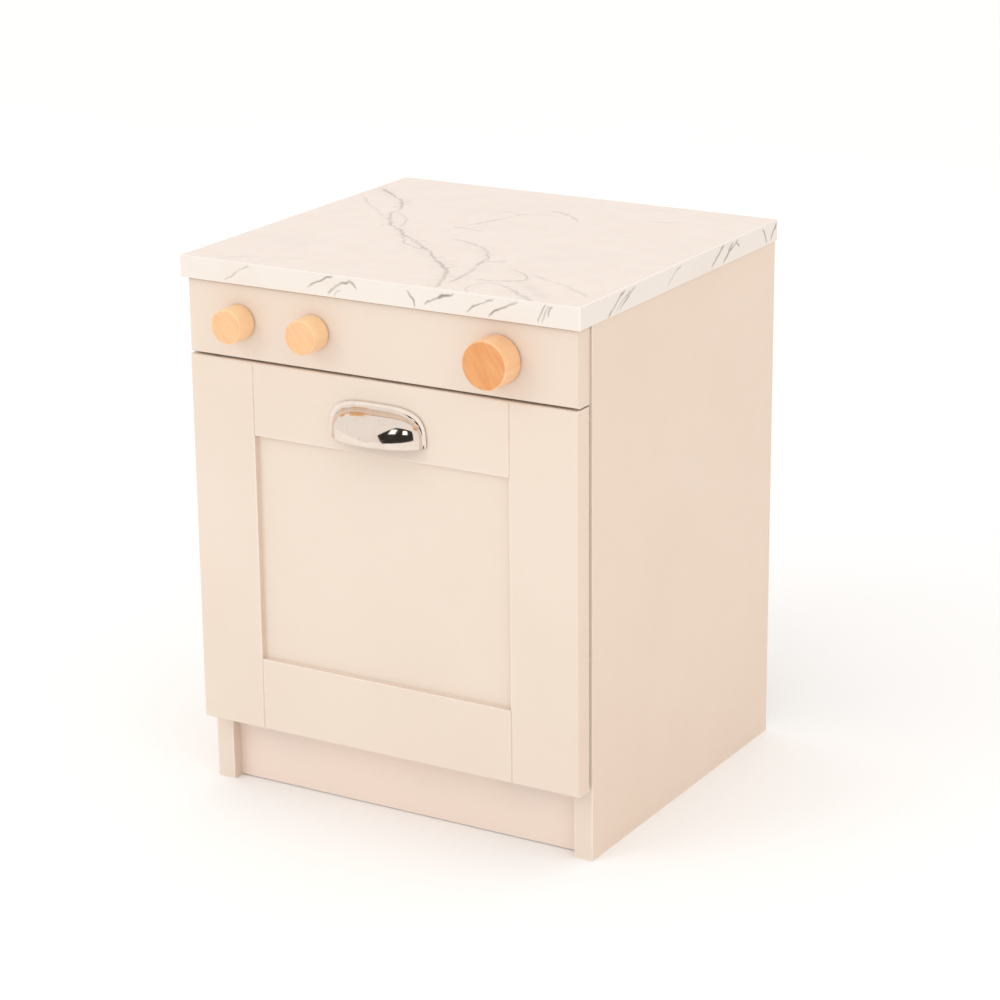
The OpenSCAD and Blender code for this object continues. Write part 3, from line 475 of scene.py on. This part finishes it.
# The plinth's lighter cream is painted light
plinth_paint_painted_light = lacquered_board("cream_plinth_painted_light", 0, PLINTH_CREAM_PAINTED_LIGHT, CREAM)
sheet = Marble("marble_sheet", 0, 1, SHEET_WHITE)
large_knob_beech = beech("beech_turned_large", LARGE_KNOB_FACE, LARGE_KNOB_SIDE_GRAIN_AND_LIGHT, 0.12)
FINISHES = {
    "carcass_board": upright_paint,
    "shelf_board": level_paint,
    "fascia_board": level_paint,
    "door_frame_board": upright_paint,
    "door_panel_board": upright_paint,
    "back_board": hardboard(),
    "worktop_chipboard": chipboard(),
    "marble_laminate": sheet.finish(SHEET_VEINS, feather=True),
    "beech_knob": beech("beech_turned", SMALL_KNOB_FACE, SMALL_KNOB_SIDE_GRAIN_AND_LIGHT, 0.12),
    "beech_fixing": beech("beech_raw", RAW_BEECH, RAW_BEECH, 0.0),
    "chrome_handle": chrome(),
    "zinc_steel": zinc(),
    "white_plastic": nylon(),
    "ferrite_magnet": ferrite(),
}
NODE_FINISHES = {
    "base_panel": level_paint,
    "top_rail_front": level_paint,
    "top_rail_back": level_paint,
    "door_head_rail": level_paint,
    "plinth_board": plinth_paint_painted_light,
    "door_rail_top": level_paint,
    "door_rail_bottom": level_paint,
    "worktop_edge_front": marble_strip("marble_front_edging", 0, FRONT_STROKES, worktop_low),
    "worktop_edge_left": marble_strip("marble_side_edging", 1, SIDE_STROKES, worktop_low),
}
NODE_FINISHES["worktop_edge_right"] = NODE_FINISHES["worktop_edge_left"]


# ---------------------------------------------------------------- CAD nodes that stay

# Width of the eased edge on each group of boards and fittings
EASED = {
    0.8 * MM: ["side_panel_left", "side_panel_right", "base_panel", "top_rail_front", "top_rail_back",
               "door_head_rail", "plinth_board", "oven_shelf", "fascia_block_left", "fascia_block_right"],
    0.3 * MM: ["back_panel", "worktop_edge_left", "worktop_edge_right", "catch_housing"],
    0.25 * MM: ["stay_arm_left", "stay_arm_right", "stay_brackets", "catch_strike_plate", "catch_magnet"],
}


def ease_edges(node, width):
    """Rounds a CAD node's sharp edges with modifiers; its mesh stays as it is."""
    weld = node.modifiers.new("join_faces", "WELD")
    weld.merge_threshold = 0.005 * MM
    bevel = node.modifiers.new("eased_edges", "BEVEL")
    bevel.width = width
    bevel.segments = 3
    bevel.limit_method = "ANGLE"
    bevel.angle_limit = math.radians(40)
    bevel.harden_normals = True


for name, obj in nodes.items():
    record_slot = obj.material_slots[0].material.name
    obj.material_slots[0].material = NODE_FINISHES.get(name) or FINISHES[record_slot]

for width, names in EASED.items():
    for name in names:
        ease_edges(nodes[name], width)


# ---------------------------------------------------------------- pieces built here

def piece(name, mesh, material, body, record_slot, *replaced):
    """Names a mesh, gives it its finish and its body, and hides the CAD nodes it stands for."""
    obj = bpy.data.objects.new(name, mesh)
    bpy.context.scene.collection.objects.link(obj)
    mesh.materials.append(material)
    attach(obj, body)
    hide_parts(*replaced)
    return obj


def shade_smooth(mesh):
    """Smooth shading, with creases where faces meet at more than 60 degrees."""
    for polygon in mesh.polygons:
        polygon.use_smooth = True
    mesh.set_sharp_from_angle(angle=math.radians(60))


def lathe(profile, centre):
    """A mesh turned about the -Y axis through centre from (radius, distance forward) points."""
    around = 96
    shape = bmesh.new()
    rings = []
    for radius, forward in profile:
        ring = []
        for step in range(around):
            turn = 2 * math.pi * step / around
            at = centre + Vector((radius * math.cos(turn), -forward, radius * math.sin(turn)))
            ring.append(shape.verts.new(at))
        rings.append(ring)
    for inner, outer in zip(rings, rings[1:]):
        for step in range(around):
            after = (step + 1) % around
            shape.faces.new((inner[step], inner[after], outer[after], outer[step]))
    shape.faces.new(reversed(rings[0]))
    shape.faces.new(rings[-1])
    bmesh.ops.recalc_face_normals(shape, faces=shape.faces)
    mesh = bpy.data.meshes.new("turned")
    shape.to_mesh(mesh)
    shape.free()
    return mesh


def knob_profile(radius, height):
    """Radius and height along a knob: eased back edge, slight taper, round front, dished face."""
    back = 0.8 * MM
    front = 2.6 * MM
    taper = 0.35 * MM
    steps = 6
    points = [(radius * 0.55, 0.0)]
    for step in range(steps + 1):
        turn = math.pi / 2 * step / steps
        points.append((radius - back * (1 - math.sin(turn)), back * (1 - math.cos(turn))))
    for step in range(steps + 1):
        turn = math.pi / 2 * step / steps
        inward = front * (1 - math.cos(turn))
        points.append((radius - taper - inward, height - front * (1 - math.sin(turn))))
    dished_face = ((0.80, 0.05 * MM), (0.55, 0.10 * MM), (0.25, 0.12 * MM), (0.02, 0.12 * MM))
    for ring, dip in dished_face:
        points.append((radius * ring, height - dip))
    return points


for side in ("left", "middle", "right"):
    low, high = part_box("knob_" + side)
    middle = (low + high) / 2
    back_centre = Vector((middle.x, high.y, middle.z))
    turned = lathe(knob_profile((high.x - low.x) / 2, high.y - low.y), back_centre)
    shade_smooth(turned)
    finish = large_knob_beech if side == "right" else FINISHES["beech_knob"]
    piece("turned_knob_" + side, turned, finish, f"knob_{side}_turning", "beech_knob", "knob_" + side)


# Cup handle: a dome that runs through a hollow into a D-shaped flange. Every contour of the dome
# is the same rounded D, and it falls away from the middle as an ellipse.
RIM_POWER = 3.5         # squareness of the flange's rim
DOME_POWER = 3.2        # squareness of the dome's contours
WALL = 1.5 * MM
FLANGE = 1.8 * MM       # from the door to the flange's outer face
FILLET = 3.4 * MM       # radius of the hollow between the dome and the flange
FILLET_START = math.radians(12)     # the hollow leaves the dome this far past upright
SIDE_RIM = 2.8 * MM     # from the dome to the rim at the handle's ends
TOP_RIM = 5.4 * MM      # the same at the top
FRONT_MARGIN = 0.4 * MM # from the dome's middle to the front of the CAD handle's box
LIP_INSET = 0.985       # the lip starts just inside the dome's outline


def plan_share(across, up):
    """0 at the lip's middle, 1 on the dome's outline."""
    return (abs(across) ** DOME_POWER + max(up, 0.0) ** DOME_POWER) ** (2 / DOME_POWER)


def along_ray(start, end, dome, wanted):
    """How far along a ray its share reaches the wanted value, by halving."""
    near, far = 0.0, 1.0
    for _ in range(40):
        along = (near + far) / 2
        at = start.lerp(end, along)
        if plan_share(at.x / dome.x, at.y / dome.y) < wanted:
            near = along
        else:
            far = along
    return (near + far) / 2


def handle_section(start, end, dome, reach):
    """Points along one ray, (place in the door's plane, height over the door): dome, hollow, flange."""
    hollow_top = FLANGE + FILLET * (1 - math.sin(FILLET_START))
    last_turn = math.asin(hollow_top / reach)
    first_turn = math.acos(math.sqrt(plan_share(start.x / dome.x, 0.0)))
    points = []
    dome_steps = 24
    for step in range(dome_steps + 1):
        turn = first_turn + (min(last_turn, first_turn) - first_turn) * step / dome_steps
        share = math.cos(turn) ** 2
        at = start.lerp(end, along_ray(start, end, dome, share))
        points.append((at, reach * math.sin(turn)))
    foot, foot_height = points[-1]
    outward = (end - start).normalized()
    hollow_steps = 8
    for step in range(1, hollow_steps + 1):
        turn = FILLET_START + (math.pi / 2 - FILLET_START) * step / hollow_steps
        sideways = FILLET * (math.cos(FILLET_START) - math.cos(turn))
        height = FLANGE + FILLET * (1 - math.sin(turn))
        points.append((foot + outward * sideways, min(foot_height, height)))
    return points + [(end, FLANGE)]


def cup_handle():
    """The cup handle's outer skin, from rays that fan out over the lip's whole width."""
    low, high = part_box("cup_handle")
    middle = (low.x + high.x) / 2
    half = (high.x - low.x) / 2
    tall = high.z - low.z
    reach = high.y - low.y - FRONT_MARGIN
    dome = Vector((half - SIDE_RIM, tall - TOP_RIM))
    rays = 96
    shape = bmesh.new()
    grid = []
    for ray in range(rays + 1):
        turn = math.pi * ray / rays
        across, up = -math.cos(turn), math.sin(turn)
        rim = Vector((math.copysign(abs(across) ** (2 / RIM_POWER), across), up ** (2 / RIM_POWER)))
        start = Vector((across * dome.x * LIP_INSET, 0.0))
        end = Vector((rim.x * half, rim.y * tall))
        row = []
        for at, height in handle_section(start, end, dome, reach):
            row.append(shape.verts.new((middle + at.x, high.y - height, low.z + at.y)))
        grid.append(row)
    for row, after in zip(grid, grid[1:]):
        for step in range(len(row) - 1):
            shape.faces.new((row[step], row[step + 1], after[step + 1], after[step]))
    bmesh.ops.remove_doubles(shape, verts=shape.verts, dist=0.02 * MM)
    bmesh.ops.recalc_face_normals(shape, faces=shape.faces)
    mesh = bpy.data.meshes.new("cup")
    shape.to_mesh(mesh)
    shape.free()
    if sum(polygon.normal.y * polygon.area for polygon in mesh.polygons) > 0:
        mesh.flip_normals()
    shade_smooth(mesh)
    return mesh


handle = piece("cup_pull", cup_handle(), FINISHES["chrome_handle"], "door", "chrome_handle", "cup_handle")
skin = handle.modifiers.new("wall", "SOLIDIFY")
skin.thickness = WALL
skin.offset = -1.0
skin.use_even_offset = True
round_lip = handle.modifiers.new("round_lip", "BEVEL")
round_lip.width = 0.6 * MM
round_lip.segments = 3
round_lip.limit_method = "ANGLE"
round_lip.angle_limit = math.radians(50)


# ---------------------------------------------------------------- studio

def sheet_of(name, outline, place, material):
    """A flat sheet for the studio, cut to an outline of (x, y) corners."""
    mesh = bpy.data.meshes.new(name)
    mesh.from_pydata([(x, y, 0.0) for x, y in outline], [], [range(len(outline))])
    mesh.materials.append(material)
    obj = bpy.data.objects.new(name, mesh)
    bpy.context.scene.collection.objects.link(obj)
    obj.matrix_world = place
    return obj


def rectangle(width, height):
    """Corners of a rectangle around its own middle."""
    return [(x * width / 2, y * height / 2) for x, y in ((-1, -1), (1, -1), (1, 1), (-1, 1))]


def aimed(at, target):
    """A placement at `at` whose -Z axis points at target."""
    look = (Vector(target) - Vector(at)).to_track_quat("-Z", "Y")
    return Matrix.LocRotScale(Vector(at), look, None)


def area_light(name, at, size, power, colour):
    """A square soft light aimed at the cabinet, which polished pieces don't mirror."""
    light = bpy.data.lights.new(name, "AREA")
    light.shape = "RECTANGLE"
    light.size, light.size_y = size, size
    light.energy = power
    light.color = colour
    obj = bpy.data.objects.new(name, light)
    bpy.context.scene.collection.objects.link(obj)
    obj.matrix_world = aimed(at, centre)
    obj.visible_glossy = False


def mirrored_card(name, at, outline, material):
    """An upright card in front of the cabinet that only shows in reflections."""
    straight_back = Vector(at) + Vector((0.0, 1.0, 0.0))
    card = sheet_of(name, outline, aimed(at, straight_back), material)
    for ray_kind in ("camera", "diffuse", "shadow", "transmission", "volume_scatter"):
        setattr(card, "visible_" + ray_kind, False)


FLOOR_SPAN = 30.0
LIGHT_SPAN = 1.6
# Corners of the dark card around its own middle; its left end is a blunt point
FLAG_OUTLINE = [(-1.9, -0.3), (-1.4, -1.3), (2.3, -1.3), (2.3, 1.3), (-1.1, 1.3)]

centre = (Vector(cad_bounds[0]) + Vector(cad_bounds[1])) / 2
sheet_of("studio_floor", rectangle(FLOOR_SPAN, FLOOR_SPAN), Matrix.Identity(4), paper_floor())

world = bpy.data.worlds.new("studio")
bpy.context.scene.world = world
world.use_nodes = True
sky = world.node_tree.nodes["Background"].inputs
sky["Color"].default_value = (1.0, 0.992, 0.982, 1.0)
sky["Strength"].default_value = 1.01

area_light("key", (-1.7, -2.6, 2.3), LIGHT_SPAN, 15.0, (1.0, 0.98, 0.95))
area_light("fill", (2.2, -1.6, 2.2), LIGHT_SPAN, 8.0, (1.0, 0.96, 0.92))

# What the chrome handle mirrors: a dark card with two softboxes in front of it
glow = lit_cloth()
mirrored_card("dark_flag", (1.0, -2.2, 1.31), FLAG_OUTLINE, dark_cloth())
mirrored_card("softbox_left", (-0.05, -2.0, 1.45), rectangle(0.4, 0.8), glow)
mirrored_card("softbox_right", (1.05, -2.0, 1.4), rectangle(0.6, 0.8), glow)


# ---------------------------------------------------------------- camera

AZIMUTH = math.radians(30.59)
PITCH = math.radians(17.86)
ROLL = math.radians(-0.57)
DISTANCE = 2.85
AIM_FROM_CENTRE = Vector((0.003, 0.028, -0.001))
LENS = 110.15
SENSOR = 36.0

camera_data = bpy.data.cameras.new("camera")
camera_data.lens = LENS
camera_data.sensor_width = SENSOR
camera_data.clip_end = 50.0
camera = bpy.data.objects.new("camera", camera_data)
bpy.context.scene.collection.objects.link(camera)
level = math.cos(PITCH)
view = Vector((-math.sin(AZIMUTH) * level, math.cos(AZIMUTH) * level, -math.sin(PITCH)))
target = centre + AIM_FROM_CENTRE
stand = target - DISTANCE * view
camera.matrix_world = aimed(stand, target) @ Matrix.Rotation(ROLL, 4, "Z")
bpy.context.scene.camera = camera

bpy.context.scene.view_settings.view_transform = "Standard"
